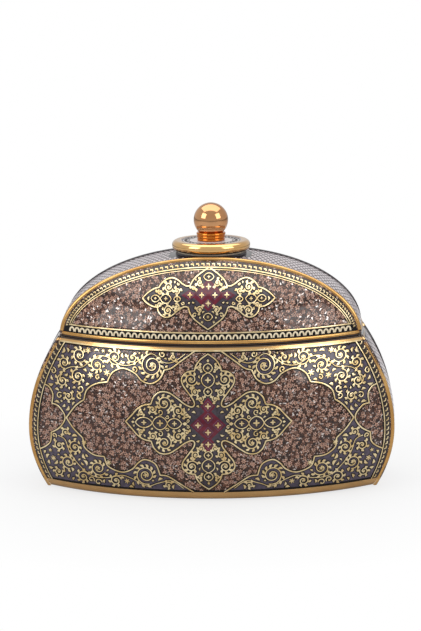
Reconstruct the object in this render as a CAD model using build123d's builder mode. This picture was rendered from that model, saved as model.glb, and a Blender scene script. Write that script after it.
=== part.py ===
"""Arched candy dish: a bowed ceramic bowl with a lift-off lid and a ball knob.

Millimetres, +Z up, +X along the dish's long side, front towards -Y.
The origin is on the table, under the middle of the dish.
"""

import os
from math import sqrt

from build123d import *

# Plan of the dish: a narrow strip on each side, and a bowed panel front and back
strip_width = 48.0
strip_bow = 1.2
corner_radius = 6.0

# Body, as half widths and as the depth of the bowed panel from the middle plane
body_height = 92.0
waist_height = 35.5
base_half_width = 99.4
waist_half_width = 110.4
rim_half_width = 91.2
base_depth = 62.5
waist_depth = 70.0
rim_depth = 59.0
body_wall = 5.0
floor_thickness = 6.0
base_round = 4.0
floor_round = 4.0
rim_round = 2.0
loft_levels = 9

# Shallow oval recess inside the foot, and the pads outside it
recess_depth = 1.5
foot_width = 31.0
pad_radius = 6.0
pad_thickness = 1.2
pad_edge = 0.3
pad_from_side = 19.0
pad_from_middle = 21.0

# Lid: an arch as wide as the rim, with a bowed panel front and back
lid_rise = 46.8
lid_step = 0.4
lid_wall = 5.0
lid_side_wall = 4.0
lip_clearance = 1.0
lip_drop = 5.0
lip_wall = 3.5
lip_root_height = 5.0
lip_root_inset = 2.5

# Raised beads along the edges of the strips
bead_radius = 1.5
bead_sink = 0.5

# Seats for the knob's parts, outside and inside the lid's crown
boss_radius = 21.5
boss_rise = 0.6
inner_boss_radius = 10.0
inner_boss_drop = 1.2
boss_root = 1.0

# Knob stack
gasket_thickness = 0.8
gasket_inset = 1.0
disc_radius = 23.6
disc_thickness = 6.2
disc_round = 2.9
disc_face_radius = 18.4
disc_face_sink = 0.4
collar_height = 5.0
collar_foot_radius = 7.8
collar_head_radius = 8.4
collar_bulge = 0.5
collar_rings = 3
ball_radius = 10.4
ball_seat_radius = 7.2
stud_radius = 2.5
stud_chamfer = 0.5
hole_clearance = 0.4
stud_engagement = 9.0
stud_end_gap = 0.5
inner_gasket_radius = 8.5
inner_gasket_thickness = 1.0
washer_radius = 7.5
washer_thickness = 1.0
nut_across_flats = 8.0
nut_hex_height = 4.0
nut_dome_radius = 3.8
nut_height = 9.0
nut_bore_depth = 7.2

# Heights that follow from the sizes above
body_foot = pad_thickness
rim_top = body_foot + body_height
waist_level = body_foot + waist_height
floor_level = body_foot + floor_thickness
half_strip = strip_width / 2
lid_half_width = rim_half_width - lid_step
lid_depth = rim_depth - lid_step
lid_half_strip = half_strip - lid_step
lid_top = rim_top + lid_rise
lid_ceiling = lid_top - lid_wall
boss_top = lid_top + boss_rise
inner_seat = lid_ceiling - inner_boss_drop
disc_bottom = boss_top + gasket_thickness
disc_face = disc_bottom + disc_thickness - disc_face_sink
ball_bottom = disc_face + collar_height
ball_center = ball_bottom + sqrt(ball_radius**2 - ball_seat_radius**2)
hole_radius = stud_radius + hole_clearance
washer_top = inner_seat - inner_gasket_thickness
nut_top = washer_top - washer_thickness
stud_bottom = nut_top - nut_bore_depth + stud_end_gap
stud_top = ball_bottom + stud_engagement - stud_end_gap


def bowed_size(level, at_base, at_waist, at_rim):
    """Half size at a level: it bows out from the base to the waist, and back in to the rim."""
    if level < waist_level:
        end, rise = at_base, waist_level - body_foot
    else:
        end, rise = at_rim, rim_top - waist_level
    share = (level - waist_level) / rise
    return at_waist - (at_waist - end) * share**2


def plan_section(level, half_width, half_depth, depth):
    """One plan outline: nearly flat side strips joined by bowed panels."""
    edge_x = half_width - strip_bow
    with BuildSketch(Plane.XY.offset(level)) as section:
        with BuildLine():
            ThreePointArc((-edge_x, -half_depth), (0, -depth), (edge_x, -half_depth))
            ThreePointArc((edge_x, -half_depth), (half_width, 0), (edge_x, half_depth))
            ThreePointArc((edge_x, half_depth), (0, depth), (-edge_x, half_depth))
            ThreePointArc((-edge_x, half_depth), (-half_width, 0), (-edge_x, -half_depth))
        make_face()
        fillet(section.vertices(), corner_radius)
    return section.sketch


def body_form(inset, bottom, top):
    """The body's outer form, or its hollow when moved inwards by the wall."""
    with BuildPart() as form:
        for step in range(loft_levels):
            level = bottom + (top - bottom) * step / (loft_levels - 1)
            half_width = bowed_size(level, base_half_width, waist_half_width, rim_half_width)
            depth = bowed_size(level, base_depth, waist_depth, rim_depth)
            add(plan_section(level, half_width - inset, half_strip - inset, depth - inset))
        loft()
    return form.part


def rim_section(level, inset):
    """The plan outline of the body's rim, moved inwards, at any level."""
    return plan_section(level, rim_half_width - inset, half_strip - inset, rim_depth - inset)


def lid_form(inset, side_inset):
    """The lid's outer form or its hollow: a form turned about the Y axis, lowered to the arch's rise."""
    half_width = lid_half_width - inset
    half_depth = lid_half_strip - side_inset
    depth = lid_depth - inset
    edge_x = half_width - strip_bow
    bow = depth - half_depth
    arc_radius = (edge_x**2 + bow**2) / (2 * bow)
    mid_x = edge_x / 2
    mid_y = depth - arc_radius + sqrt(arc_radius**2 - mid_x**2)
    with BuildPart() as form:
        with BuildSketch(Plane.XY):
            with BuildLine():
                ThreePointArc((0, -depth), (mid_x, -mid_y), (edge_x, -half_depth))
                ThreePointArc((edge_x, -half_depth), (half_width, 0), (edge_x, half_depth))
                ThreePointArc((edge_x, half_depth), (mid_x, mid_y), (0, depth))
                Line((0, depth), (0, -depth))
            make_face()
        revolve(axis=Axis.Y, revolution_arc=-180)
        scale(by=(1, 1, (lid_rise - inset) / half_width))
    return form.part


def strip_edge(side, front):
    """The line where a side strip of the body meets a panel, from base to rim."""
    levels = [body_foot, (body_foot + waist_level) / 2, waist_level, (waist_level + rim_top) / 2, rim_top]
    sizes = [bowed_size(level, base_half_width, waist_half_width, rim_half_width) for level in levels]
    points = [(side * (size - strip_bow - bead_sink), level) for size, level in zip(sizes, levels)]
    with BuildLine(Plane.XZ.offset(front * (half_strip - bead_sink))) as edge:
        ThreePointArc(*points[:3])
        ThreePointArc(*points[2:])
    return edge.line


def arch_edge(front):
    """The line where the lid's arched strip meets a panel, from side to side."""
    edge_x = lid_half_width - strip_bow
    edge_rise = lid_rise * edge_x / lid_half_width
    with BuildLine(Plane.XZ.offset(front * (lid_half_strip - bead_sink))) as edge:
        EllipticalCenterArc(
            (0, rim_top),
            edge_x - bead_sink,
            edge_rise - bead_sink,
            start_angle=0,
            arc_size=180,
        )
    return edge.line


def bead(path):
    """A bead along a line: a full round, half sunk in the wall."""
    with BuildPart() as rope:
        with BuildSketch(Plane(origin=path @ 0, z_dir=path % 0)):
            Circle(bead_radius)
        sweep(path=path)
    return rope.part


def ring(bottom, outer_radius, thickness, inner_radius=hole_radius):
    """A flat round washer, gasket or disc with a hole for the stud."""
    with BuildPart() as washer:
        with BuildSketch(Plane.XY.offset(bottom)):
            Circle(outer_radius)
            Circle(inner_radius, mode=Mode.SUBTRACT)
        extrude(amount=thickness)
    return washer.part


def make_body():
    """The bowl: a lofted shell with an oval recess underneath, and a bead along each strip edge."""
    with BuildPart() as body:
        add(body_form(0, body_foot, rim_top))
        fillet(body.faces().sort_by(Axis.Z)[0].edges(), base_round)
        fillet(body.faces().sort_by(Axis.Z)[-1].edges(), rim_round)
        for side in (-1, 1):
            for front in (-1, 1):
                add(bead(strip_edge(side, front)))
        split(bisect_by=Plane.XY.offset(body_foot), keep=Keep.TOP)
        split(bisect_by=Plane.XY.offset(rim_top), keep=Keep.BOTTOM)
        with BuildSketch(Plane.XY.offset(body_foot)):
            Ellipse(base_half_width - foot_width, base_depth - foot_width)
        extrude(amount=recess_depth, mode=Mode.SUBTRACT)
        add(make_hollow(), mode=Mode.SUBTRACT)
    return body.part


def make_hollow():
    """The space inside the bowl, with a rounded floor edge."""
    with BuildPart() as hollow:
        add(body_form(body_wall, floor_level, rim_top))
        fillet(hollow.faces().sort_by(Axis.Z)[0].edges(), floor_round)
    return hollow.part


def make_lid():
    """The lid: an arched shell, a lip that drops inside the rim, and a seat above and below its crown."""
    with BuildPart() as lid:
        with Locations((0, 0, rim_top)):
            add(lid_form(0, 0))
        for front in (-1, 1):
            add(bead(arch_edge(front)))
        with Locations((0, 0, rim_top)):
            add(lid_form(lid_wall, lid_side_wall), mode=Mode.SUBTRACT)
        with BuildSketch(Plane.XY.offset(rim_top)):
            add(rim_section(0, lid_step + lip_root_inset))
        extrude(amount=lip_root_height)
        with BuildSketch(Plane.XY.offset(rim_top - lip_drop)):
            add(rim_section(0, body_wall + lip_clearance))
        extrude(amount=lip_drop)
        with BuildSketch(Plane.XY.offset(rim_top - lip_drop)):
            add(rim_section(0, body_wall + lip_clearance + lip_wall))
        extrude(amount=lip_drop + lip_root_height, mode=Mode.SUBTRACT)
        with BuildSketch(Plane.XY.offset(lid_ceiling + boss_root)):
            Circle(boss_radius)
        extrude(amount=boss_top - lid_ceiling - boss_root)
        with BuildSketch(Plane.XY.offset(inner_seat)):
            Circle(inner_boss_radius)
        extrude(amount=inner_boss_drop + boss_root)
        with BuildSketch(Plane.XY.offset(inner_seat)):
            Circle(hole_radius)
        extrude(amount=boss_top - inner_seat, mode=Mode.SUBTRACT)
    return lid.part


def make_flange_disc():
    """The thick round plate under the knob, with a rounded rim and a shallow face for its ornament."""
    with BuildPart() as disc:
        add(ring(disc_bottom, disc_radius, disc_thickness))
        outer_edges = disc.edges().filter_by(GeomType.CIRCLE).sort_by(lambda edge: edge.radius)[-2:]
        fillet(outer_edges, disc_round)
        with BuildSketch(Plane.XY.offset(disc_face)):
            Circle(disc_face_radius)
        extrude(amount=disc_face_sink, mode=Mode.SUBTRACT)
    return disc.part


def make_knob_collar():
    """The ringed neck between the disc and the ball: rounded rings that widen towards the ball."""
    ring_height = collar_height / collar_rings
    ring_step = (collar_head_radius - collar_foot_radius) / collar_rings
    with BuildPart() as collar:
        with BuildSketch(Plane.XZ):
            with BuildLine():
                Line((hole_radius, disc_face), (collar_foot_radius, disc_face))
                for index in range(collar_rings):
                    low = (collar_foot_radius + index * ring_step, disc_face + index * ring_height)
                    middle = (low[0] + ring_step / 2 + collar_bulge, low[1] + ring_height / 2)
                    high = (low[0] + ring_step, low[1] + ring_height)
                    ThreePointArc(low, middle, high)
                Polyline(
                    (collar_head_radius, ball_bottom),
                    (hole_radius, ball_bottom),
                    (hole_radius, disc_face),
                )
            make_face()
        revolve(axis=Axis.Z)
    return collar.part


def make_knob_ball():
    """The ball knob: a flat under it sits on the collar, and the stud screws up into it."""
    with BuildPart() as ball:
        with Locations((0, 0, ball_center)):
            Sphere(ball_radius)
        split(bisect_by=Plane.XY.offset(ball_bottom), keep=Keep.TOP)
        with BuildSketch(Plane.XY.offset(ball_bottom)):
            Circle(stud_radius)
        extrude(amount=stud_engagement, mode=Mode.SUBTRACT)
    return ball.part


def make_knob_stud():
    """The threaded rod through the whole stack, drawn plain at its outer diameter."""
    with BuildPart() as stud:
        with BuildSketch(Plane.XY.offset(stud_bottom)):
            Circle(stud_radius)
        extrude(amount=stud_top - stud_bottom)
        chamfer(stud.edges().filter_by(GeomType.CIRCLE), stud_chamfer)
    return stud.part


def make_dome_nut():
    """The closed nut inside the lid: a hexagon, a round dome below it and a blind threaded hole."""
    with BuildPart() as nut:
        with BuildSketch(Plane.XY.offset(nut_top)):
            RegularPolygon(nut_across_flats / 2, 6, major_radius=False)
        extrude(amount=-nut_hex_height)
        with BuildSketch(Plane.XY.offset(nut_top)):
            Circle(nut_dome_radius)
        extrude(amount=nut_dome_radius - nut_height)
        with Locations((0, 0, nut_top - nut_height + nut_dome_radius)):
            Sphere(nut_dome_radius)
        with BuildSketch(Plane.XY.offset(nut_top)):
            Circle(stud_radius)
        extrude(amount=-nut_bore_depth, mode=Mode.SUBTRACT)
    return nut.part


def make_foot_pads():
    """Four soft round pads under the foot, one at each corner."""
    pad_x = base_half_width - pad_from_side
    with BuildPart() as pads:
        with BuildSketch():
            with GridLocations(2 * pad_x, 2 * pad_from_middle, 2, 2):
                Circle(pad_radius)
        extrude(amount=pad_thickness)
        chamfer(pads.faces().group_by(Axis.Z)[0].edges(), pad_edge)
    return pads.part


pieces = {
    "body": make_body(),
    "lid": make_lid(),
    "flange_gasket": ring(boss_top, boss_radius - gasket_inset, gasket_thickness),
    "flange_disc": make_flange_disc(),
    "knob_collar": make_knob_collar(),
    "knob_ball": make_knob_ball(),
    "knob_stud": make_knob_stud(),
    "inner_gasket": ring(washer_top, inner_gasket_radius, inner_gasket_thickness),
    "inner_washer": ring(nut_top, washer_radius, washer_thickness),
    "dome_nut": make_dome_nut(),
    "foot_pads": make_foot_pads(),
}

os.makedirs("parts", exist_ok=True)
for name, piece in pieces.items():
    piece.label = name
    export_step(piece, f"parts/{name}.step")
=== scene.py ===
"""Looks of the arched candy dish: glaze, gilding and raised line work round the fixed model.

Sizes in this script are millimetres until a mesh is made. The front faces -Y.
"""

import math
import random

import bpy
from mathutils import Matrix, Vector, geometry


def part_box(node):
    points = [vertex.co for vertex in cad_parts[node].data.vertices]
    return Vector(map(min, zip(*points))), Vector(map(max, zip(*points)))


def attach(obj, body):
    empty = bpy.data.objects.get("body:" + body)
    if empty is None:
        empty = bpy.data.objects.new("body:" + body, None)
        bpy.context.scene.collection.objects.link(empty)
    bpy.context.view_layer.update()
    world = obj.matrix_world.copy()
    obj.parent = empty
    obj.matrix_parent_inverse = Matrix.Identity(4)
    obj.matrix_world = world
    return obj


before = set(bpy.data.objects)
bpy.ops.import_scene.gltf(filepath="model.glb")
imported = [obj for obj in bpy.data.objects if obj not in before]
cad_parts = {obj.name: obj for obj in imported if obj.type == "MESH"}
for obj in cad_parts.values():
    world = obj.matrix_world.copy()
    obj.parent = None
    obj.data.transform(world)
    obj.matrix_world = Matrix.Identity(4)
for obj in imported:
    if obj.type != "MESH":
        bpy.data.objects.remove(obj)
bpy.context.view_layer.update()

MM = 0.001

# The dish's walls, as the model has them
body_box = [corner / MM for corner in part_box("body")]
lid_box = [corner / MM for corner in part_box("lid")]
disc_box = [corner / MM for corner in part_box("flange_disc")]
body_height, waist_height = 92.0, 35.5
foot = body_box[0].z
rim = foot + body_height
waist = foot + waist_height
waist_half_width = body_box[1].x
waist_depth = body_box[1].y
base_half_width, rim_half_width = 99.4, 91.2
base_depth, rim_depth = 62.5, 59.0
half_strip = 24.0
strip_bow = 1.2
lid_half_width = lid_box[1].x
lid_depth = lid_box[1].y
lid_half_strip = 23.6
lid_rise = 46.8
disc_face_radius, disc_face_sink = 18.4, 0.4

# Gilded beads: full ones on the front edges, lower ones just inside the back edges
bead_radius, bead_sink = 1.58, 0.5
back_radius, back_inset = 1.15, 1.3

# Heights of the relief over the glaze, from the lowest
BURIED = -0.15
GROUND = 0.1
MEDALLION = 0.12
DISC_RING = 0.12
DISC_WAVE = 0.14
FIELD_LEAF = 0.2
SHADOW = 0.22
PETAL = 0.22
PIP = 0.24
INLAY = 0.26
PETAL_HEART = 0.3
RING = 0.36
GOLD = 0.4
BLOSSOM = 0.5

# Where the shoulder of a raised line lies, as a share of its height and half width
SHOULDER = 0.85
# How much wider than the gold its dark outline is
OUTLINE = 1.1

random.seed(11)


# Walls: each takes two coordinates and a lift, and gives a point in space

def bowed(z, at_base, at_waist, at_rim):
    """Half size of the body at a height."""
    if z < waist:
        end, rise = at_base, waist - foot
    else:
        end, rise = at_rim, rim - waist
    return at_waist - (at_waist - end) * ((z - waist) / rise) ** 2


def body_edge(z):
    """Where the front panel meets the side strip."""
    return bowed(z, base_half_width, waist_half_width, rim_half_width) - strip_bow


def arc_depth(across, edge, depth, half_depth):
    """Depth of a bowed panel at a distance from its middle."""
    bow = depth - half_depth
    radius = (edge**2 + bow**2) / (2 * bow)
    return depth - radius + math.sqrt(max(radius**2 - across**2, 0.0))


def body_depth_at(x, z):
    return arc_depth(x, body_edge(z), bowed(z, base_depth, waist_depth, rim_depth), half_strip)


def lid_depth_at(x, z):
    raised = (z - rim) * lid_half_width / lid_rise
    return arc_depth(math.hypot(x, raised), lid_half_width - strip_bow, lid_depth, lid_half_strip)


def panel(depth_at):
    """The wall of a front panel, by x and z."""
    reach = 0.3

    def wall(x, z, lift):
        slope_x = (depth_at(x + reach, z) - depth_at(x - reach, z)) / (2 * reach)
        slope_z = (depth_at(x, z + reach) - depth_at(x, z - reach)) / (2 * reach)
        normal = Vector((-slope_x, -1, -slope_z)).normalized()
        return Vector((x, -depth_at(x, z), z)) + normal * lift
    return wall


def strip_sag(across, half):
    """How far a strip falls back from its middle line."""
    radius = (half**2 + strip_bow**2) / (2 * strip_bow)
    return radius - math.sqrt(radius**2 - across**2)


def side_wall(y, z, lift):
    """The right side strip of the body."""
    width = bowed(z, base_half_width, waist_half_width, rim_half_width) - strip_sag(y, half_strip)
    return Vector((width + lift, y, z))


def arch_wall(angle, y, lift):
    """The lid's arched strip, by the angle over it from the right."""
    width = lid_half_width - strip_sag(y, lid_half_strip)
    rise = lid_rise * width / lid_half_width
    normal = Vector((rise * math.cos(angle), 0, width * math.sin(angle))).normalized()
    return Vector((width * math.cos(angle), y, rim + rise * math.sin(angle))) + normal * lift


def disc_wall(x, y, lift):
    """The top face of the flange disc."""
    return Vector((x, y, disc_box[1].z - disc_face_sink + lift))


body_panel = panel(body_depth_at)
lid_panel = panel(lid_depth_at)


# Lines and outlines

def smooth(points, step=0.9):
    """A smooth line through the points, in short even steps."""
    ends = [points[0]] + list(points) + [points[-1]]
    line = []
    for a, b, c, d in zip(ends, ends[1:], ends[2:], ends[3:]):
        count = max(2, round(math.dist(b, c) / step))
        for index in range(count):
            t = index / count
            line.append(tuple(
                0.5 * (2 * q + (r - p) * t + (2 * p - 5 * q + 4 * r - s) * t**2
                       + (3 * q - p - 3 * r + s) * t**3)
                for p, q, r, s in zip(a, b, c, d)
            ))
    return line + [tuple(points[-1])]


def cusped(*parts):
    """Smooth runs from cusp to cusp, where each run starts at the end of the one before."""
    runs = []
    start = []
    for part in parts:
        points = start + part
        runs.append(smooth(points))
        start = points[-1:]
    return runs


def joined(runs):
    """The runs of an outline as one line, with each shared end once."""
    line = []
    for run in runs:
        line += run[:-1]
    return line + [runs[-1][-1]]


def mirrored(line, side=-1, up=1, middle=0.0):
    return [(side * x, middle + up * (z - middle)) for x, z in line]


def outline_of(runs):
    """A closed outline from the runs of its right half, top to bottom."""
    right = joined(runs)
    return right + mirrored(right)[::-1]


def inside(point, outline):
    """Whether a point is inside a closed outline."""
    x, z = point
    found = False
    for (x0, z0), (x1, z1) in zip(outline, outline[1:] + outline[:1]):
        if (z0 > z) != (z1 > z) and x < (x1 - x0) * (z - z0) / (z1 - z0) + x0:
            found = not found
    return found


def divided(outline, step=1.3):
    """The outline with its long edges divided into short ones."""
    points = []
    for (x0, z0), (x1, z1) in zip(outline, outline[1:] + outline[:1]):
        count = max(1, round(math.dist((x0, z0), (x1, z1)) / step))
        points += [(x0 + (x1 - x0) * k / count, z0 + (z1 - z0) * k / count) for k in range(count)]
    return points


def clear_of(point, outline, gap):
    return all(math.dist(point, other) > gap for other in outline)


def middle_of(outline):
    return [sum(axis) / len(outline) for axis in zip(*outline)]


def grown(outline, amount):
    """The outline moved out from its middle by an amount."""
    x, z = middle_of(outline)
    moved = []
    for u, v in outline:
        reach = math.dist((u, v), (x, z)) or 1.0
        moved.append((u + (u - x) * amount / reach, v + (v - z) * amount / reach))
    return moved


def somewhere(left, right, low, high):
    """A random point in a box."""
    return random.uniform(left, right), random.uniform(low, high)


def curl(x, z, radius, start, turns, hand, tight=0.2):
    """A spiral that winds in from its outer radius."""
    count = max(8, int(radius * turns * 6))
    line = []
    for index in range(count + 1):
        share = index / count
        angle = math.radians(start) + hand * share * turns * math.tau
        reach = radius * (1 - (1 - tight) * share)
        line.append((x + reach * math.cos(angle), z + reach * math.sin(angle)))
    return line


def blossom(x, z, radius, petals=5, turn=0.0, depth=0.36):
    """The outline of a small flower."""
    count = petals * 4
    points = []
    for index in range(count):
        angle = math.tau * index / count
        reach = radius * (1 - depth + depth * math.cos(petals * angle))
        points.append((x + reach * math.cos(angle + turn), z + reach * math.sin(angle + turn)))
    return points


def leaf(x, z, angle, length, width, bend):
    """The outline of a pointed leaf that starts at a point."""
    half = width / 2
    points = []
    for along, across in ((0, 0), (0.3, -0.8), (0.6, -1), (1, 0), (0.6, 1), (0.3, 0.8)):
        dx = along * length
        dz = across * half + 2 * bend * length * along * (1 - along)
        points.append((x + dx * math.cos(angle) - dz * math.sin(angle),
                       z + dx * math.sin(angle) + dz * math.cos(angle)))
    return points


def lozenge(x, z, half_width, half_height):
    return [(x + half_width, z), (x, z + half_height), (x - half_width, z), (x, z - half_height)]


def eye(x, z, half_width, half_height, upright=False):
    """A loop with a point at each end, lying down or upright."""
    points = []
    for index in range(28):
        angle = math.tau * index / 28
        along = math.cos(angle)
        across = math.copysign(abs(math.sin(angle)) ** 1.45, math.sin(angle))
        if upright:
            along, across = -across, along
        points.append((x + half_width * along, z + half_height * across))
    return points


def bar_faces(count, size, first=0, closed=False):
    """Faces round the rings of points of a bar, which is closed at its ends or runs round."""
    faces = []
    for index in range(count if closed else count - 1):
        here = first + index * size
        there = first + (index + 1) % count * size
        for k in range(size):
            n = (k + 1) % size
            faces.append((here + k, there + k, there + n, here + n))
    if not closed:
        last = first + (count - 1) * size
        faces.append(tuple(first + k for k in range(size)))
        faces.append(tuple(last + k for k in reversed(range(size))))
    return faces


class Relief:
    """Raised line work and small shapes, gathered into one mesh on a wall."""

    sharp_angle = math.radians(42)

    def __init__(self, wall):
        self.wall = wall
        self.points = []
        self.faces = []

    def ribbon(self, line, width, high=GOLD, closed=False):
        """A raised line, rounded over, with its lower edges in the glaze."""
        count = len(line)
        edge = BURIED + SHOULDER * (high - BURIED)
        section = ((-1, BURIED), (-SHOULDER, edge), (0, high), (SHOULDER, edge), (1, BURIED))
        first = len(self.points)
        for index, (u, v) in enumerate(line):
            before = line[index - 1] if index or closed else line[0]
            after = line[(index + 1) % count] if index < count - 1 or closed else line[-1]
            du, dv = after[0] - before[0], after[1] - before[1]
            length = math.hypot(du, dv) or 1.0
            for across, lift in section:
                shift = across * width / 2 / length
                self.points.append(self.wall(u - dv * shift, v + du * shift, lift))
        self.faces += bar_faces(count, len(section), first, closed)

    def blob(self, outline, high=GOLD):
        """A small domed shape."""
        count = len(outline)
        first = len(self.points)
        edge = BURIED + SHOULDER * (high - BURIED)
        for lift in (BURIED, edge):
            self.points += [self.wall(u, v, lift) for u, v in outline]
        self.points += [self.wall(*middle_of(outline), lift) for lift in (BURIED, high)]
        base, top = first + 2 * count, first + 2 * count + 1
        for k in range(count):
            n = (k + 1) % count
            self.faces.append((first + k, base, first + n))
            self.faces.append((first + k, first + n, first + count + n, first + count + k))
            self.faces.append((first + count + k, first + count + n, top))

    def sheet(self, keep, loops, high, spacing=4.0):
        """A thin closed sheet over the area that keep() accepts, cut along the loops."""
        flat = [point for loop in loops for point in loop]
        edges = []
        start = 0
        for loop in loops:
            edges += [(start + k, start + (k + 1) % len(loop)) for k in range(len(loop))]
            start += len(loop)
        low_u, high_u = min(p[0] for p in flat), max(p[0] for p in flat)
        low_v, high_v = min(p[1] for p in flat), max(p[1] for p in flat)
        for i in range(int((high_u - low_u) / spacing)):
            for j in range(int((high_v - low_v) / spacing)):
                flat.append((low_u + (i + 0.53) * spacing, low_v + (j + 0.53) * spacing))
        made = geometry.delaunay_2d_cdt([Vector(p) for p in flat], edges, [], 0, 1e-4)
        kept = []
        for face in made[2]:
            middle = sum((made[0][k] for k in face), Vector((0, 0))) / len(face)
            if keep(tuple(middle)):
                kept.append(tuple(face))
        used = sorted({k for face in kept for k in face})
        place = {k: index for index, k in enumerate(used)}
        first, count = len(self.points), len(used)
        for lift in (high, BURIED):
            self.points += [self.wall(*made[0][k], lift) for k in used]
        sides = set()
        for face in kept:
            top = [first + place[k] for k in face]
            self.faces.append(tuple(top))
            self.faces.append(tuple(k + count for k in reversed(top)))
            sides.update(zip(top, top[1:] + top[:1]))
        for a, b in sorted(sides):
            if (b, a) not in sides:
                self.faces.append((b, a, a + count, b + count))

    def make(self, name, body, material, slot="glazed_ware", both=True):
        """The finished piece, with its copy turned to the back or the other side."""
        points = [point * MM for point in self.points]
        faces = list(self.faces)
        if both:
            turned = Matrix.Rotation(math.pi, 3, "Z")
            points += [turned @ point for point in points]
            count = len(self.points)
            faces += [tuple(k + count for k in face) for face in self.faces]
        mesh = bpy.data.meshes.new(name)
        mesh.from_pydata(points, [], faces)
        mesh.validate()
        mesh.shade_smooth()
        mesh.set_sharp_from_angle(angle=self.sharp_angle)
        piece = bpy.data.objects.new(name, mesh)
        bpy.context.scene.collection.objects.link(piece)
        mesh.materials.append(material)
        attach(piece, body)


def inlaid(name, body, wall, outlines, high, material):
    """A piece of thin sheets, one inside each outline."""
    work = Relief(wall)
    for outline in outlines:
        shape = divided(outline)
        work.sheet(lambda point: inside(point, shape), [shape], high, 2.5)
    work.make(name, body, material)


class Ornament:
    """Gold work with dark edges: drawn once, and mirrored over its panel."""

    cell = 0.5
    same_place = 0.05

    def __init__(self, gold_work, ink_work, middle=None):
        self.gold_work = gold_work
        self.ink_work = ink_work
        self.middle = middle
        self.used = set()

    def copies(self, line):
        """The line and its mirror images, without the ones that fall on each other."""
        found = [line, mirrored(line)]
        if self.middle is not None:
            found += [mirrored(way, 1, -1, self.middle) for way in found]
        kept = []
        for way in found:
            if all(math.dist(middle_of(way), middle_of(other)) > self.same_place for other in kept):
                kept.append(way)
        return kept

    def cells(self, line):
        return {(int(u // self.cell), int(v // self.cell)) for u, v in line}

    def free(self, line):
        """Whether a line keeps off all that is drawn."""
        return not any(
            (i + di, j + dj) in self.used
            for i, j in self.cells(line) for di in (-1, 0, 1) for dj in (-1, 0, 1)
        )

    def line(self, line, width=0.6, closed=False):
        for way in self.copies(line):
            self.gold_work.ribbon(way, width, closed=closed)
            self.ink_work.ribbon(way, width + OUTLINE, high=SHADOW, closed=closed)
            self.used |= self.cells(way)

    def shape(self, outline):
        for way in self.copies(outline):
            self.gold_work.blob(way)
            self.ink_work.blob(grown(way, OUTLINE / 2), high=SHADOW)
            self.used |= self.cells(way + [middle_of(way)])

    def loop(self, x, z, half_width, half_height, bud, width=0.5, upright=False):
        """A pointed loop with a bud in it."""
        self.line(eye(x, z, half_width, half_height, upright), width, closed=True)
        self.shape(blossom(x, z, bud, 4))

    def scrolls(self, places, level=0.0):
        """Spirals with leaves along their backs and a flower in each eye."""
        for x, up, radius, start, turns, hand in places:
            z = level + up
            self.line(curl(x, z, radius, start, turns, hand), 0.72)
            self.shape(blossom(x, z, max(radius * 0.32, 0.8), 5, start))
            leaves = int(radius * 1.9)
            for index in range(leaves):
                share = (index + 0.4) / leaves
                angle = math.radians(start) + hand * math.tau * share * 0.9
                reach = radius * (1 - 0.8 * share * 0.9 / turns)
                root = (x + reach * math.cos(angle), z + reach * math.sin(angle))
                self.shape(leaf(*root, angle - hand * 0.8, 1.7 + radius * 0.24, 1.5, 0.3 * hand))

    def fill(self, keep, box, tries, size=1.0):
        """Hooks, leaves and buds in what the scrolls leave free, the larger ones first."""
        for index in range(tries):
            x, z = somewhere(*box)
            angle = random.uniform(0, math.tau)
            grade = size * (1.25 - 0.6 * index / tries)
            kind = random.random()
            hook = kind < 0.4
            if hook:
                shape = curl(x, z, random.uniform(1.5, 2.3) * grade, math.degrees(angle), 0.85,
                             random.choice((-1, 1)), 0.35)
            elif kind < 0.6:
                shape = blossom(x, z, random.uniform(1.1, 1.5) * grade, random.choice((4, 5)), angle)
            else:
                shape = leaf(x, z, angle, random.uniform(2.2, 3.6) * grade, 1.35 * grade, 0.45)
            if all(keep(point) for point in shape) and self.free(shape):
                if hook:
                    self.line(shape, 0.75 * size)
                    self.shape(blossom(*shape[-1], 0.75 * grade, 4, angle))
                else:
                    self.shape(shape)


# Materials

class Nodes:
    """Short names for the shader nodes of a material or of the world."""

    def __init__(self, owner):
        owner.use_nodes = True
        self.owner = owner
        self.tree = owner.node_tree

    def put(self, socket, value):
        if isinstance(value, bpy.types.NodeSocket):
            self.tree.links.new(value, socket)
        else:
            socket.default_value = value

    def node(self, kind, *values, **settings):
        """A new node with its settings and its first inputs."""
        node = self.tree.nodes.new("ShaderNode" + kind)
        for name, value in settings.items():
            setattr(node, name, value)
        for socket, value in zip(node.inputs, values):
            self.put(socket, value)
        return node

    def math(self, operation, *values):
        return self.node("Math", *values, operation=operation).outputs[0]

    def split(self, vector):
        return self.node("SeparateXYZ", vector).outputs

    def join(self, x, y, z=0.0):
        return self.node("CombineXYZ", x, y, z).outputs[0]

    def ramp(self, value, low, high):
        """0 at the low value and 1 at the high one."""
        return self.node("MapRange", value, low, high).outputs[0]

    def mix(self, share, first, second):
        """Two colours mixed by a share."""
        node = self.node("Mix", share, data_type="RGBA")
        self.put(node.inputs[6], first)
        self.put(node.inputs[7], second)
        return node.outputs[2]

    def blend(self, share, first, second):
        """Two numbers mixed by a share."""
        node = self.node("Mix", share)
        self.put(node.inputs[2], first)
        self.put(node.inputs[3], second)
        return node.outputs[0]


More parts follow.
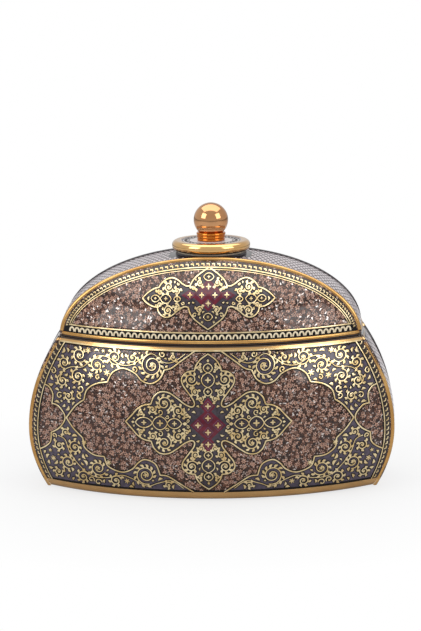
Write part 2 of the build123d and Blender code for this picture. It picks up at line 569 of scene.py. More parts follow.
class Finish(Nodes):
    """The nodes of one material, with its shader and its coordinates."""

    def __init__(self, name):
        super().__init__(bpy.data.materials.new(name))
        self.shader = self.tree.nodes["Principled BSDF"]
        self.coords = self.node("TexCoord").outputs

    def noise(self, scale, detail):
        return self.node("TexNoise", self.coords["Object"], 0.0, scale, detail).outputs["Fac"]

    def cells(self, scale, vector, kind="F1"):
        return self.node("TexVoronoi", vector, 0.0, scale, voronoi_dimensions="2D", feature=kind).outputs

    def from_axis(self):
        """Distance from the dish's upright axis."""
        x, y, _ = self.split(self.coords["Object"])
        return self.math("SQRT", self.math("ADD", self.math("MULTIPLY", x, x), self.math("MULTIPLY", y, y)))

    def bump(self, height, distance, strength=1.0):
        node = self.node("Bump", strength, distance)
        self.put(node.inputs["Height"], height)
        for socket in ("Normal", "Coat Normal"):
            self.tree.links.new(node.outputs[0], self.shader.inputs[socket])

    def set(self, **values):
        for name, value in values.items():
            self.put(self.shader.inputs[name.replace("_", " ")], value)


def rgb(*levels):
    """A colour given as it looks on screen, 0 to 255."""
    shares = [level / 255 for level in levels]
    return *(s / 12.92 if s < 0.04045 else ((s + 0.055) / 1.055) ** 2.4 for s in shares), 1.0


def gold(name, colour, dark, roughness, spread=0.12, patch=160):
    """Burnished gilding: uneven in tone and polish, with fine brush marks."""
    n = Finish(name)
    n.set(
        Base_Color=n.mix(n.ramp(n.noise(patch, 5), 0.35, 0.65), rgb(*dark), rgb(*colour)),
        Metallic=1.0,
        Roughness=n.math("MULTIPLY_ADD", n.noise(900, 2), spread, roughness - spread / 2),
    )
    n.bump(n.noise(2400, 3), 0.00003, 0.4)
    return n.owner


def glaze(name, colour, dark, scale=420, coat=1.0):
    """A fired colour under clear glaze, a little mottled."""
    n = Finish(name)
    n.set(
        Base_Color=n.mix(n.ramp(n.noise(scale, 6), 0.3, 0.7), rgb(*dark), rgb(*colour)),
        Roughness=0.5,
        Specular_IOR_Level=0.0,
        Coat_Weight=coat,
        Coat_Roughness=0.05,
    )
    n.bump(n.noise(900, 3), 0.00006, 0.5)
    return n.owner


def flecks(n, vector, scale, petals, size):
    """1 inside small flowers that stand in the cells of a pattern, and the cells."""
    cell = n.cells(scale, vector)
    part = n.split(n.node("VectorMath", vector, cell["Position"], operation="SUBTRACT").outputs[0])
    angle = n.math("ARCTAN2", part[1], part[0])
    turned = n.math("MULTIPLY_ADD", n.split(cell["Color"])[0], 6.0, angle)
    wave = n.math("COSINE", n.math("MULTIPLY", turned, petals))
    reach = n.math("MULTIPLY_ADD", wave, 0.35 * size, 0.65 * size)
    return n.ramp(n.math("SUBTRACT", reach, cell["Distance"]), -0.02, 0.06), cell


def ware(name, middle, panel_from, plain_middle, plain_half, seam_shade_level):
    """The fired casting: floral field on the panels, dark strips, gilded ends with painted shade along the
    seam, ivory inside.
    """
    n = Finish(name)
    x, y, z = n.split(n.coords["Object"])
    flat = n.join(x, z)
    warped = n.join(n.math("MULTIPLY_ADD", n.noise(300, 2), 0.0016, x),
                    n.math("MULTIPLY_ADD", n.noise(340, 2), 0.0016, z))
    large, cell = flecks(n, flat, 300, 5.0, 0.4)
    small, other = flecks(n, warped, 620, 4.0, 0.4)
    twigs = n.ramp(n.cells(520, warped, "DISTANCE_TO_EDGE")["Distance"], 0.07, 0.03)
    brown = n.mix(n.ramp(n.noise(140, 5), 0.35, 0.65), rgb(24, 12, 10), rgb(58, 34, 25))
    copper = n.mix(n.ramp(n.split(cell["Color"])[1], 0.3, 0.8), rgb(126, 82, 63), rgb(222, 180, 160))
    pale = n.mix(n.ramp(n.split(other["Color"])[2], 0.6, 0.7), rgb(104, 66, 50), rgb(222, 200, 190))
    field = n.mix(n.math("MULTIPLY", twigs, 0.5), brown, rgb(108, 74, 58))
    field = n.mix(n.math("MULTIPLY", small, 0.8), field, pale)
    field = n.mix(large, field, copper)
    field = n.mix(n.ramp(cell["Distance"], 0.13, 0.09), field, rgb(20, 10, 9))

    strip = n.mix(n.noise(500, 4), rgb(18, 13, 15), rgb(54, 42, 46))
    on_panel = n.math("GREATER_THAN", n.math("ABSOLUTE", y), panel_from * MM)
    outside = n.mix(on_panel, strip, field)
    from_middle = n.math("ABSOLUTE", n.math("SUBTRACT", z, plain_middle * MM))
    gilded = n.math("GREATER_THAN", from_middle, plain_half * MM)
    burnished = n.mix(n.noise(70, 4), rgb(196, 150, 90), rgb(232, 188, 124))
    # Painted shade: the gilding turns dark brown within about a millimetre of the seam height, where shade
    # falls in the gap between lid and body
    painted_seam_shade = n.ramp(n.math("ABSOLUTE", n.math("SUBTRACT", z, seam_shade_level * MM)), 0.0013, 0.0007)
    outside = n.mix(gilded, outside, n.mix(painted_seam_shade, burnished, rgb(46, 28, 18)))

    normal = n.split(n.coords["Normal"])
    outward = n.math("ADD", n.math("MULTIPLY", normal[0], x), n.math("MULTIPLY", normal[1], y))
    outward = n.math("MULTIPLY_ADD", normal[2], n.math("SUBTRACT", z, middle * MM), outward)
    shell = n.math("GREATER_THAN", outward, 0.0)
    ivory = n.mix(n.noise(60, 5), rgb(222, 211, 190), rgb(236, 228, 212))
    metal = n.math("MULTIPLY", shell, gilded)
    n.set(
        Base_Color=n.mix(shell, ivory, outside),
        Metallic=metal,
        Roughness=n.blend(metal, 0.42, n.math("MULTIPLY_ADD", n.noise(300, 2), 0.1, 0.18)),
        Specular_IOR_Level=0.0,
        Coat_Weight=0.9,
        Coat_Roughness=0.06,
    )
    relief = n.math("MULTIPLY", on_panel, n.math("MAXIMUM", large, n.math("MULTIPLY", small, 0.7)))
    painted = n.math("SUBTRACT", shell, metal)
    n.bump(n.math("MULTIPLY", relief, painted), 0.0002)
    return n.owner


def metal_part(name, colour, dark, roughness, marks=0.06):
    """Plated metal with faint wiping marks."""
    n = Finish(name)
    n.set(
        Base_Color=n.mix(n.ramp(n.noise(45, 5), 0.3, 0.7), rgb(*dark), rgb(*colour)),
        Metallic=1.0,
        Roughness=n.math("MULTIPLY_ADD", n.noise(220, 4), marks, roughness),
    )
    n.bump(n.noise(1500, 2), 0.00001, 0.3)
    return n.owner


def soft_part(name, colour, dark, roughness):
    """Silicone or rubber with a fine grain."""
    n = Finish(name)
    n.set(
        Base_Color=n.mix(n.noise(240, 5), rgb(*dark), rgb(*colour)),
        Roughness=n.math("MULTIPLY_ADD", n.noise(800, 2), 0.2, roughness),
    )
    n.bump(n.noise(3000, 2), 0.00004, 0.5)
    return n.owner


def disc_material():
    """The flange disc: gilded round its rim, pale glazed face inside."""
    n = Finish("flange_finish")
    height = n.split(n.coords["Object"])[2]
    upper = n.math("GREATER_THAN", height, (disc_box[1].z - 2 * disc_face_sink) * MM)
    face = n.math("MULTIPLY", n.math("LESS_THAN", n.from_axis(), disc_face_radius * MM), upper)
    metal = n.mix(n.ramp(n.noise(45, 5), 0.3, 0.7), rgb(214, 164, 100), rgb(238, 194, 128))
    pale = n.mix(n.noise(300, 4), rgb(214, 208, 206), rgb(234, 230, 228))
    n.set(
        Base_Color=n.mix(face, metal, pale),
        Metallic=n.math("SUBTRACT", 1.0, face),
        Roughness=n.blend(face, n.math("MULTIPLY_ADD", n.noise(220, 4), 0.05, 0.09), 0.3),
        Coat_Weight=0.4,
        Coat_Roughness=0.05,
    )
    n.bump(n.noise(1500, 2), 0.00001, 0.3)
    return n.owner


pale_gold = gold("pale_gold", (248, 228, 184), (214, 184, 130), 0.25)
bead_gold = gold("bead_gold", (216, 172, 108), (190, 144, 84), 0.24, 0.08, 50)
slate = glaze("slate_ground", (88, 77, 94), (62, 54, 67))
dark_slate = glaze("medallion_ground", (70, 60, 70), (40, 34, 40))
ink = glaze("dark_outline", (9, 6, 7), (5, 4, 4), coat=0.5)
umber = glaze("border_umber", (46, 30, 26), (24, 15, 13))
crimson = glaze("crimson", (112, 12, 40), (74, 8, 30))
purple = glaze("purple", (104, 70, 92), (74, 48, 66))
copper_petal = glaze("copper_petal", (226, 182, 158), (150, 104, 84), 700)
silver_petal = gold("silver_petal", (238, 230, 226), (206, 192, 184), 0.3)
pearl = glaze("pearl", (214, 203, 204), (172, 158, 162), 700)
cream = glaze("cream", (250, 236, 206), (228, 208, 170), 700)

# The last argument of each ware is the height of the painted shade along the seam between lid and body
cad_materials = {
    "body": ware("body_ware", middle=60, panel_from=half_strip + 0.2, plain_middle=48.35, plain_half=42.25,
                 seam_shade_level=rim - 0.2),
    "lid": ware("lid_ware", middle=rim + 4, panel_from=lid_half_strip + 0.2, plain_middle=rim + 60,
                plain_half=59.0, seam_shade_level=rim + 0.1),
    "flange_disc": disc_material(),
    "knob_ball": metal_part("knob_finish", (222, 172, 126), (196, 140, 94), 0.07),
    "knob_collar": metal_part("collar_finish", (226, 148, 66), (190, 104, 36), 0.1),
    "knob_stud": metal_part("stud_plating", (190, 190, 186), (160, 160, 158), 0.22),
    "inner_washer": metal_part("washer_plating", (196, 196, 192), (166, 166, 164), 0.24),
    "dome_nut": metal_part("nut_plating", (200, 200, 196), (168, 168, 166), 0.16),
    "flange_gasket": soft_part("gasket_silicone", (206, 198, 182), (184, 176, 160), 0.45),
    "inner_gasket": soft_part("inner_silicone", (206, 198, 182), (184, 176, 160), 0.45),
    "foot_pads": soft_part("pad_rubber", (40, 37, 36), (24, 22, 22), 0.6),
}
for node, material in cad_materials.items():
    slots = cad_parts[node].data.materials
    slots.clear()
    slots.append(material)


# Outlines of the body's panel: right halves, as runs from cusp to cusp

field_top, field_bottom = 90.3, 6.2
cartouche_runs = cusped(
    [(7.5, field_top), (16, 84.3), (21.5, 80.3), (25.6, 79.2)],
    [(28.5, 73.9), (33.6, 71.1), (39, 72.4), (43.5, 76.6), (50.7, 78.9), (57, 76), (60.1, 70.4)],
    [(67.5, 68.6), (72.8, 64.6), (74.5, 58.9)],
    [(80, 54.5), (85.6, 46.9)],
    [(81, 41), (75.4, 36)],
    [(74.5, 30.5), (69, 26.5), (62.3, 25.9)],
    [(60, 20), (51.9, 17.1), (45.5, 19.5), (42, 23.5), (37.6, 26), (31.5, 23.5), (28.8, 16.6)],
    [(24, 16), (17, 11.5), (9, field_bottom)],
)
cartouche = outline_of(cartouche_runs)
side_runs = cusped(
    [(99.3, 64.4), (96.5, 63.3), (94.2, 59.5), (94.8, 54.1)],
    [(90.5, 53), (86.4, 47.1), (89.8, 40.5), (95.4, 36.6)],
    [(96, 31), (99, 27.5), (103, 24.9)],
)
side_field = joined(side_runs) + [(109, 24.9), (109, 64.4)]

cross_level = 48.4
quarter_runs = cusped(
    [(0, 40.2), (4.5, 37), (7.2, 33.2), (7.8, 30.6)],
    [(12, 30), (15.3, 26.8), (15, 23), (11.8, 18.4), (8.5, 13.8), (8, 11), (9.8, 9.9), (13.8, 11.6),
     (18.4, 15), (23.4, 18), (28.3, 18.1), (32, 15.2), (33.8, 10.9)],
    [(38.2, 10), (42, 7.6), (45.4, 3.8), (49, 0)],
)
upper = [(x, cross_level + z) for x, z in joined(quarter_runs)]
lower = mirrored(upper, 1, -1, cross_level)[::-1]
medallion = outline_of([upper, lower])
border_heights = [field_bottom + (field_top - field_bottom) * k / 60 for k in range(61)]
border_width = 5.0

# Room kept for the beads, beside the border bands and at the ends of the level lines
bead_room, line_room = 1.6, 1.8


def border_x(z):
    """Inner edge of the border band."""
    return body_edge(z) - border_width


def on_slate(point):
    x, z = abs(point[0]), point[1]
    return (field_bottom < z < field_top and x < border_x(z)
            and not inside((x, z), cartouche) and not inside((x, z), side_field))


border = outline_of([[(border_x(z), z) for z in border_heights]])
ground = Relief(body_panel)
ground.sheet(on_slate, [divided(border, 3.0), cartouche, side_field, mirrored(side_field)], GROUND)
ground.make("spandrel_ground", "bowl", slate)
inlaid("medallion_ground", "bowl", body_panel, [medallion], MEDALLION, dark_slate)


# Line work of the body's panel

body_gold = Relief(body_panel)
body_ink = Relief(body_panel)
spandrel = Ornament(body_gold, body_ink)
cross = Ornament(body_gold, body_ink, cross_level)

for run in cartouche_runs + side_runs:
    spandrel.line(run, 0.85)
for run in quarter_runs:
    cross.line([(x, cross_level + z) for x, z in run], 0.85)

spandrel.scrolls([
    (33.0, 81.4, 6.4, 70, 2.0, -1), (55.6, 84.8, 4.6, 200, 1.6, 1), (66.6, 79.4, 4.4, 160, 1.5, -1),
    (77.6, 84.0, 4.4, 210, 1.6, 1), (78.4, 71.8, 4.0, 90, 1.6, -1), (87.0, 78.6, 3.4, 260, 1.5, 1),
    (88.2, 68.2, 3.6, 90, 1.5, -1), (84.4, 59.8, 2.8, 120, 1.4, 1), (44.8, 85.2, 3.0, 30, 1.3, -1),
    (20.4, 86.4, 2.0, 200, 1.2, 1), (37.4, 16.2, 6.0, 250, 1.9, 1), (55.6, 11.2, 3.6, 160, 1.5, -1),
    (66.2, 18.2, 4.8, 210, 1.7, 1), (75.8, 11.4, 3.8, 150, 1.5, -1), (84.8, 19.6, 4.4, 260, 1.6, 1),
    (80.4, 29.6, 3.8, 100, 1.5, -1), (91.6, 12.4, 2.8, 150, 1.4, 1), (90.4, 29.4, 3.0, 60, 1.4, -1),
    (86.0, 38.2, 2.4, 300, 1.3, 1), (24.0, 10.4, 2.2, 160, 1.2, -1),
])
stems = [
    [(13.5, 88.4), (20, 84.0), (26, 83.5), (33, 88.0), (40, 84.6), (45, 81.4), (52, 80.8), (60, 84.5),
     (66, 84.6), (72, 80.2), (76, 77.4), (83, 76.6), (88, 73.2), (91.0, 66)],
    [(15, 8.6), (22, 13.2), (30, 11.4), (37, 9.2), (46, 13.5), (52, 15), (61, 12.6), (70, 12.8), (77, 17.5),
     (83.5, 25.6), (86.6, 33.4), (91, 35.4)],
]
for stem in stems:
    spandrel.line(smooth(stem), 0.55)
for x, z, radius in ((60.4, 75.6, 2.2), (72.4, 87.2, 1.9), (48.8, 11.6, 1.9), (59.8, 22.4, 1.9),
                     (74.6, 33.4, 1.8), (70.6, 73.2, 2.0), (94.4, 20.6, 1.9)):
    spandrel.shape(blossom(x, z, radius, 6, 0.3))
spandrel.fill(
    lambda p: on_slate(p) and p[0] < border_x(p[1]) - 1.2 and 7.6 < p[1] < 89, (8, 104, 7.5, 89.3), 16000)

# The chain of loops along the arms of the cross, with buds in them
for x, half_width, half_height in ((19.8, 4.2, 3.0), (28.4, 4.4, 3.9), (38.0, 5.0, 3.0)):
    cross.loop(x, cross_level, half_width, half_height, half_height * 0.55, 0.6)
cross.shape(lozenge(44.6, cross_level, 1.0, 0.8))
cross.shape(lozenge(13.6, cross_level, 1.5, 1.1))
for z, half_width, half_height in ((25.4, 3.8, 4.2), (32.2, 2.6, 2.6), (18.8, 2.4, 2.4)):
    cross.loop(0, cross_level + z, half_width, half_height, half_width * 0.5, 0.6, True)
cross.shape(lozenge(0, cross_level + 36.4, 0.8, 1.0))
cross.scrolls([
    (25.8, 11.6, 4.4, 250, 1.7, -1), (32.8, 8.0, 2.4, 130, 1.5, 1), (17.4, 7.6, 3.2, 300, 1.5, 1),
    (12.6, 5.0, 1.8, 90, 1.3, -1), (9.8, 25.8, 3.8, 200, 1.7, 1), (7.4, 18.6, 2.4, 60, 1.5, -1),
    (4.8, 32.6, 1.6, 220, 1.2, 1), (4.2, 14.6, 1.8, 120, 1.3, 1), (39.6, 5.6, 1.7, 100, 1.3, -1),
], cross_level)


def in_cross(point):
    x, z = abs(point[0]), abs(point[1] - cross_level)
    return inside(point, medallion) and x / 11.5 + z / 15.0 > 1.04


cross.fill(lambda p: in_cross(p) and p[0] > 0.5 and p[1] > cross_level + 0.5,
           (0, 48, cross_level, cross_level + 38), 5000, 0.78)


def red_heart(name, body, gold_work, lozenges, flowers, ring, width, bloom):
    """Crimson lozenges, and a purple ring with a gold blossom at the place of each flower."""
    inlaid(name, body, gold_work.wall, [lozenge(*place) for place in lozenges], INLAY, crimson)
    rings = Relief(gold_work.wall)
    for x, z in flowers:
        rings.ribbon(lozenge(x, z, *ring), width, high=RING, closed=True)
        gold_work.blob(blossom(x, z, bloom, 4), high=BLOSSOM)
    rings.make(name + "_rings", body, purple)


heart_level = 47.6
red_heart("cross_heart", "bowl", body_gold,
          [(0, heart_level, 10.6, 9.9), (0, 58.6, 4.4, 5.2), (0, 36.4, 4.4, 5.2)],
          [(0, 58.8), (0, 51.8), (-5.9, heart_level), (5.9, heart_level), (0, 43.4), (0, 36.2)],
          ring=(2.9, 3.1), width=0.6, bloom=1.9)

# Border band with its dashes, and the rim and base lines
band = Relief(body_panel)
body_dashes = Relief(body_panel)
dash_step, first_dash = 2.9, 0.7
dash_insets = ((4.0, 0.0), (2.9, 0.4), (2.7, 1.7))


def in_band(point):
    return border_x(point[1]) < abs(point[0]) < body_edge(point[1]) - bead_room


for side in (1, -1):
    outer = [(side * (body_edge(z) - bead_room), z) for z in border_heights]
    inner = [(side * border_x(z), z) for z in border_heights]
    band.sheet(in_band, [outer + inner[::-1]], MEDALLION)
    body_gold.ribbon(inner, 0.65)
    body_ink.ribbon(inner, 2.0, high=SHADOW)
    for k in range(int((field_top - field_bottom) / dash_step)):
        z = field_bottom + first_dash + k * dash_step
        body_dashes.ribbon([(side * (body_edge(z) - inset), z + up) for inset, up in dash_insets], 0.75)
band.make("border_band", "bowl", umber)
body_dashes.make("border_dashes", "bowl", pale_gold, "gilding")


def across(z, reach, count=90):
    """A level line over a front panel."""
    return [(reach * (2 * k / count - 1), z) for k in range(count + 1)]


top_reach = body_edge(field_top) - line_room
body_gold.ribbon(across(field_top, top_reach), 1.0)
body_ink.ribbon(across(field_top - 0.5, top_reach), 1.7, high=SHADOW)
body_ink.ribbon(across(field_bottom + 0.5, body_edge(field_bottom) - line_room), 1.5, high=SHADOW)
body_ink.make("body_outlines", "bowl", ink)
body_gold.make("body_gilding", "bowl", pale_gold, "gilding")


# The lid's panel

lid_gold = Relief(lid_panel)
lid_ink = Relief(lid_panel)
lid_middle, crest_level = 119.0, 121.2
lid_runs = cusped(
    [(0, 135.4), (2.8, 133.7), (6, 131.7), (9.2, 129), (11, 126)],
    [(12.9, 125.8), (15.6, 127), (18.6, 129), (22, 129.9), (25.6, 128.8), (28.4, 126.5), (29.4, 124.8)],
    [(32.4, 124), (36, 121.8), (39.2, 118.8)],
    [(36.6, 116.6), (33.4, 115), (30, 114.4)],
    [(29.3, 112), (27.2, 109.9), (24.6, 109.1), (21.5, 110.1), (17.8, 113), (14.2, 115), (11.6, 114.6)],
    [(10.5, 111.6), (8.4, 108.7), (4.8, 105.9), (0, 102.6)],
)
lid_medallion = outline_of(lid_runs)
inlaid("lid_medallion_ground", "lid", lid_panel, [lid_medallion], MEDALLION, dark_slate)
crest = Ornament(lid_gold, lid_ink)
arms = Ornament(lid_gold, lid_ink, lid_middle)
arms.used = crest.used
for run in lid_runs:
    crest.line(run, 0.8)
arms.loop(25.2, lid_middle, 3.2, 2.4, 1.2)
arms.loop(31.4, lid_middle, 2.6, 1.8, 0.9)
crest.loop(0, 130.6, 3.0, 1.9, 0.95)
crest.loop(0, 109.6, 2.6, 2.0, 1.0)
crest.loop(18.4, lid_middle, 2.0, 1.4, 0.7)
crest.scrolls([
    (5.2, 127.6, 1.9, 200, 1.4, 1), (5.0, 113.4, 2.0, 160, 1.4, -1), (8.6, 124.9, 1.2, 60, 1.2, -1),
])
arms.scrolls([
    (23.6, 125.2, 2.7, 200, 1.6, 1), (18.6, 123.2, 1.8, 300, 1.3, -1), (28.6, 122.4, 1.5, 60, 1.3, -1),
])


def in_crest(point):
    x, z = abs(point[0]), abs(point[1] - crest_level)
    return inside(point, lid_medallion) and x / 10.8 + z / 9.6 > 1.0 and (x > 17 or z > 3.4)


crest.fill(lambda p: in_crest(p) and p[0] > 0.4, (0, 38, 103, 135), 3500, 0.72)
red_heart("crest_heart", "lid", lid_gold,
          [(0, crest_level, 9.9, 8.4), (11.2, crest_level, 4.9, 2.7), (-11.2, crest_level, 4.9, 2.7)],
          [(0, 125.6), (0, 116.8)] + [(x, crest_level) for x in (-3.9, 3.9, -10.9, 10.9)],
          ring=(2.5, 2.3), width=0.5, bloom=1.7)

# Lid borders: gilded foot, a row of small arches, and a band under the arch
foot_low = rim + 0.8
arches_low, arches_high = rim + 2.9, rim + 6.6
line_level = rim + 7.4
arch_half = lid_half_width - strip_bow
arch_rise = lid_rise * arch_half / lid_half_width


def arch_line(inset, start=0.0, end=180.0, count=120):
    """A line that follows the arch at a distance inside it."""
    line = []
    for k in range(count + 1):
        angle = math.radians(start + (end - start) * k / count)
        across_to, up_to = arch_rise * math.cos(angle), arch_half * math.sin(angle)
        size = math.hypot(across_to, up_to)
        line.append((arch_half * math.cos(angle) - inset * across_to / size,
                     rim + arch_rise * math.sin(angle) - inset * up_to / size))
    return line


def lid_reach(z, inset):
    """Half width of the lid's panel at a height."""
    return arch_half * math.sqrt(max(1 - ((z - rim) / arch_rise) ** 2, 0)) - inset


def high_arch(inset):
    """The part of an arched line that is above the level line."""
    return [point for point in arch_line(inset) if point[1] > line_level]


def lid_band(name, loop, material):
    """A thin sheet on the lid's panel, inside a loop."""
    band = Relief(lid_panel)
    band.sheet(lambda point: inside(point, loop), [loop], MEDALLION)
    band.make(name, "lid", material)


inner_arch = high_arch(4.1)
lid_band("lid_border_band", high_arch(bead_room) + inner_arch[::-1], umber)
low_line, high_line = [across(z, lid_reach(z, bead_room)) for z in (arches_low, line_level)]
lid_band("lid_foot_band", low_line + high_line[::-1], ink)
lid_ink.ribbon(arch_line(4.5, 9, 171), 2.4, high=SHADOW)
lid_gold.ribbon(inner_arch, 0.6)
lid_gold.ribbon(high_arch(5.2), 0.4)
lid_gold.ribbon(across(line_level, lid_reach(line_level, 4.2)), 0.85)

# The small arches stand in even steps round the bowed foot of the panel
foot_bow = lid_depth - lid_half_strip
bow_radius = (arch_half**2 + foot_bow**2) / (2 * foot_bow)
arch_step, arches_aside = 4.05, 23
small_half_width, small_height, small_foot = 1.35, 2.4, 0.75
small_arches = Relief(lid_panel)
for k in range(-arches_aside, arches_aside + 1):
    x = bow_radius * math.sin(k * arch_step / bow_radius)
    if abs(x) < lid_reach(arches_high, 3.5):
        small_arches.ribbon([
            (x + small_half_width * math.cos(a), arches_low + small_foot + small_height * math.sin(a))
            for a in (math.pi * t / 10 for t in range(11))
        ], 1.05)
outer_dots, inner_dots = arch_line(2.4, 8, 172, 160), arch_line(3.4, 8, 172, 160)
for start, bend, end in zip(inner_dots[::2], outer_dots[::2], outer_dots[1::2]):
    lid_gold.ribbon([start, bend, end], 0.75)
small_arches.make("lid_small_arches", "lid", cream)
lid_ink.make("lid_outlines", "lid", ink)
lid_gold.make("lid_gilding", "lid", pale_gold, "gilding")


# Gilded beads: along the strip edges, and round the lid's foot

bead_sides = 12


def bead_set(name, body, lines):
    """Round beads along lines in space, each with its radius, and thinner at its ends."""
    work = Relief(None)
    for line, radius in lines:
        work.faces += [face[::-1] for face in bar_faces(len(line), bead_sides, len(work.points))]
        last = len(line) - 1
        for index, point in enumerate(line):
            along = (line[min(index + 1, last)] - line[max(index - 1, 0)]).normalized()
            out = along.cross(Vector((0, 1, 0))).normalized()
            up = along.cross(out)
            reach = radius * min(1.0, 0.5 + 0.25 * min(index, last - index))
            for k in range(bead_sides):
                angle = math.tau * k / bead_sides
                work.points.append(point + (out * math.cos(angle) + up * math.sin(angle)) * reach)
    work.make(name, body, bead_gold, "gilding", both=False)


lowest_bead, bead_shortening = 1.2, 3.0
levels = [foot + lowest_bead + (rim - foot - bead_shortening) * k / 60 for k in range(61)]
body_lines = []
for side in (1, -1):
    front, back = [], []
    for z in levels:
        front.append(Vector((side * (body_edge(z) - bead_sink), -(half_strip - bead_sink), z)))
        x = body_edge(z) - back_inset
        back.append(Vector((side * x, body_depth_at(x, z) - bead_sink, z)))
    body_lines += [(front, bead_radius), (back, back_radius)]
bead_set("body_beads", "bowl", body_lines)
front = [Vector((x, -(lid_half_strip - bead_sink), z)) for x, z in arch_line(bead_sink, 1.2, 178.8)]
back = [Vector((x, lid_depth_at(x, z) - bead_sink, z)) for x, z in arch_line(back_inset, 1.8, 178.2)]
bead_set("lid_beads", "lid", [(front, bead_radius), (back, back_radius)])

lid_foot = Relief(None)
outline = [(x, -lid_depth_at(x, foot_low)) for x, z in across(0, lid_reach(foot_low, 1.0))]
outline += [(lid_half_width - strip_sag(y, lid_half_strip), y)
            for y in [lid_half_strip * (2 * k / 16 - 1) for k in range(1, 16)]]
outline = outline + [(-x, -y) for x, y in outline]
section = [(-1.0, 0.0), (0.1, 0.0), (0.6, 0.35), (0.78, 1.05), (0.6, 1.75), (0.1, 2.1), (-1.0, 2.1)]
for index, (x, y) in enumerate(outline):
    before, after = outline[index - 1], outline[(index + 1) % len(outline)]
    along = Vector((after[0] - before[0], after[1] - before[1])).normalized()
    for out, up in section:
        lid_foot.points.append(Vector((x + along.y * out, y - along.x * out, foot_low + up)))
lid_foot.faces = bar_faces(len(outline), len(section), closed=True)
lid_foot.make("lid_foot_bead", "lid", bead_gold, "gilding", both=False)


# Raised lozenges of the net on the strips, none of them near the knob

along_step, across_step = 1.6, 4.9
pip_along, pip_across = 1.15, 3.7
net_margin = 2.4
lowest_row, net_shortening = 7.6, 7.5
first_angle = 0.11
knob_room = 25
rows = int((half_strip - net_margin) / across_step)
pips_body = Relief(side_wall)
for i in range(int((rim - foot - net_shortening) / along_step)):
    for j in range(-rows, rows + 1):
        if (i + j) % 2 == 0:
            pip = lozenge(j * across_step, lowest_row + i * along_step, pip_across, pip_along)
            pips_body.blob(pip, high=PIP)
pips_body.make("side_net", "bowl", pearl)

pips_lid = Relief(arch_wall)
angle = first_angle
row = 0
while angle < math.pi - first_angle:
    pace = math.hypot(lid_half_width * math.sin(angle), lid_rise * math.cos(angle))
    for j in range(-rows, rows + 1):
        y = j * across_step
        if (row + j) % 2 == 0 and math.hypot(lid_half_width * math.cos(angle), y) > knob_room:
            pips_lid.blob(lozenge(angle, y, pip_along / pace, pip_across), high=PIP)
    angle += along_step / pace
    row += 1
pips_lid.make("arch_net", "lid", pearl, both=False)


# Flowers and leaves of the brown fields

def fill_field(wall, body, name, keep, box, flowers, leaves):
    """Copper flowers and silver leaves strewn over a field."""
    petals, hearts, slivers = Relief(wall), Relief(wall), Relief(wall)
    placed = []

    def crowded(x, z, radius, gap):
        return any(math.dist((x, z), other) < radius + taken + gap for *other, taken in placed)

    for _ in range(flowers):
        x, z = somewhere(*box)
        radius = random.uniform(1.0, 2.0)
        if not keep((x, z), radius) or crowded(x, z, radius, 0.2):
            continue
        placed.append((x, z, radius))
        petals.blob(blossom(x, z, radius, random.choice((5, 6, 7)), random.uniform(0, 6)), high=PETAL)
        hearts.blob(blossom(x, z, radius * 0.36, 4), high=PETAL_HEART)
    for _ in range(leaves):
        x, z = somewhere(*box)
        if not keep((x, z), 1.2) or crowded(x, z, 0, 0.3):
            continue
        placed.append((x, z, 0.45))
        target = slivers if random.random() < 0.3 else petals
        shape = leaf(x, z, random.uniform(0, 6.28), random.uniform(1.2, 2.2), 0.7, 0.5)
        target.blob(shape, high=FIELD_LEAF)
    petals.make(name + "_flowers", body, copper_petal)
    hearts.make(name + "_hearts", body, ink)
    slivers.make(name + "_leaves", body, silver_petal)


def in_body_field(point, margin):
    x, z = abs(point[0]), point[1]
    if not field_bottom + 1 < z < field_top - 1 or x > border_x(z) - margin:
        return False
    if inside((x, z), side_field):
        return clear_of((x, z), side_field, margin)
    return (inside(point, cartouche) and clear_of(point, cartouche, margin)
            and not inside(point, medallion) and clear_of(point, medallion, margin))


def in_lid_field(point, margin):
    x, z = point
    return (line_level + margin < z and abs(x) < lid_reach(z + 2.5, 4 + margin)
            and not inside(point, lid_medallion) and clear_of(point, lid_medallion, margin))


fill_field(body_panel, "bowl", "body_field", in_body_field, (-106, 106, 7, 89), 2200, 3000)
fill_field(lid_panel, "lid", "lid_field", in_lid_field, (-86, 86, 101, 136), 1200, 1800)


# Two rings and a zigzag on the flange's face

def circle(radius, count=72):
    turns = [math.tau * k / count for k in range(count)]
    return [(radius * math.cos(turn), radius * math.sin(turn)) for turn in turns]


ring_work = Relief(disc_wall)
for radius in (17.5, 13.4):
    ring_work.ribbon(circle(radius), 0.6, high=DISC_RING, closed=True)
swing = 0.07
wave = [(x * (1 + swing * (-1) ** k), y * (1 + swing * (-1) ** k)) for k, (x, y) in enumerate(circle(15.5))]
ring_work.ribbon(wave, 0.75, high=DISC_WAVE, closed=True)
ring_work.make("flange_ring", "lid", ink, "gilded_metal", both=False)


# Floor, world, lamps and camera, in metres. The floor glows more away from the dish

floor_reach = 8.0
corners = [(x * floor_reach, y * floor_reach, 0) for x, y in ((-1, -1), (1, -1), (1, 1), (-1, 1))]
floor_mesh = bpy.data.meshes.new("floor")
floor_mesh.from_pydata(corners, [], [(0, 1, 2, 3)])
floor = bpy.data.objects.new("floor", floor_mesh)
bpy.context.scene.collection.objects.link(floor)

shadow_reach, white_from = 0.1, 0.24
least_glow = 0.78
paper = Finish("floor_paper")
paper.set(Base_Color=(0.66, 0.66, 0.66, 1), Roughness=0.9)
light = paper.node("LightPath").outputs
seen = paper.math("MAXIMUM", light["Is Camera Ray"], light["Is Transmission Ray"])
away = paper.ramp(paper.from_axis(), shadow_reach, white_from)
share = paper.math("MULTIPLY", seen, paper.math("MULTIPLY_ADD", away, 1 - least_glow, least_glow))
glow = paper.node("Emission", (1, 1, 1, 1), 1.0)
blend = paper.node("MixShader", share, paper.shader.outputs[0], glow.outputs[0])
paper.put(paper.tree.nodes["Material Output"].inputs[0], blend.outputs[0])
floor_mesh.materials.append(paper.owner)

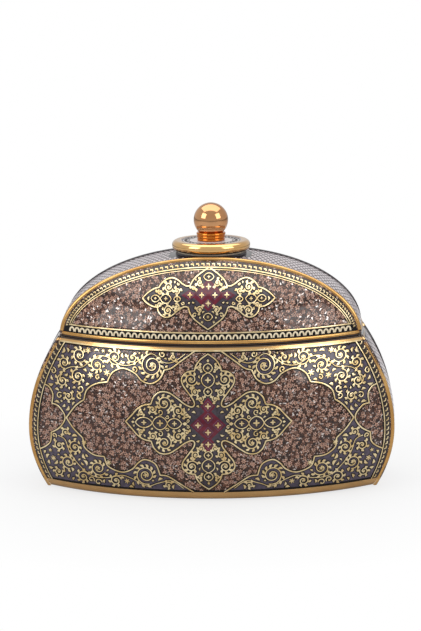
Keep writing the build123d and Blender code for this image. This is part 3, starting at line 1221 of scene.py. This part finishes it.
# World: dim for the shading, and brighter in mirrors and behind the floor
glossy_share = 0.75
studio = Nodes(bpy.data.worlds.new("studio"))
bpy.context.scene.world = studio.owner
dim = studio.tree.nodes["Background"]
dim.inputs["Color"].default_value = (0.95, 0.97, 1.0, 1)
dim.inputs["Strength"].default_value = 0.4
bright = studio.node("Background", (0.8, 0.8, 0.8, 1), 1.0)
path = studio.node("LightPath").outputs
share = studio.math("MULTIPLY_ADD", path["Is Glossy Ray"], glossy_share, path["Is Camera Ray"])
mixer = studio.node("MixShader", share, dim.outputs[0], bright.outputs[0])
studio.put(studio.tree.nodes["World Output"].inputs[0], mixer.outputs[0])


aim = Vector((0, 0, rim * MM * 0.8))


def softbox(name, place, width, height, power):
    """A rectangular lamp that faces the middle of the dish."""
    lamp = bpy.data.lights.new(name, "AREA")
    lamp.shape = "RECTANGLE"
    lamp.size, lamp.size_y = width, height
    lamp.energy = power
    holder = bpy.data.objects.new(name, lamp)
    holder.location = place
    holder.rotation_euler = (aim - Vector(place)).to_track_quat("-Z", "Y").to_euler()
    bpy.context.scene.collection.objects.link(holder)


softbox("overhead", (0.0, 0.2, 1.2), 1.8, 1.2, 12)
softbox("left_box", (-1.05, -0.8, 0.85), 0.8, 0.8, 7)
softbox("right_box", (1.1, -0.7, 0.8), 0.8, 0.8, 6)

# Camera, fitted to the photograph: its place in metres, and its tilt, turn and roll in degrees
camera_distance, camera_height, camera_shift = 1.9509, 0.4442, -0.0008
camera_tilt, camera_turn, camera_roll = 9.979, -2.392, -0.573
focal_pixels, frame_height = 3266.9, 631
camera_data = bpy.data.cameras.new("camera")
camera_data.sensor_width = 36
camera_data.lens = focal_pixels * camera_data.sensor_width / frame_height
camera_data.clip_start, camera_data.clip_end = 0.05, 20
camera = bpy.data.objects.new("camera", camera_data)
bpy.context.scene.collection.objects.link(camera)
turn = Matrix.Rotation(math.radians(-camera_turn), 4, "Z")
stand = Matrix.Translation((camera_shift, -camera_distance, camera_height))
tilt = Matrix.Rotation(math.radians(90 - camera_tilt), 4, "X")
roll = Matrix.Rotation(math.radians(camera_roll), 4, "Z")
camera.matrix_world = turn @ stand @ tilt @ roll
bpy.context.scene.camera = camera
bpy.context.scene.view_settings.view_transform = "Standard"
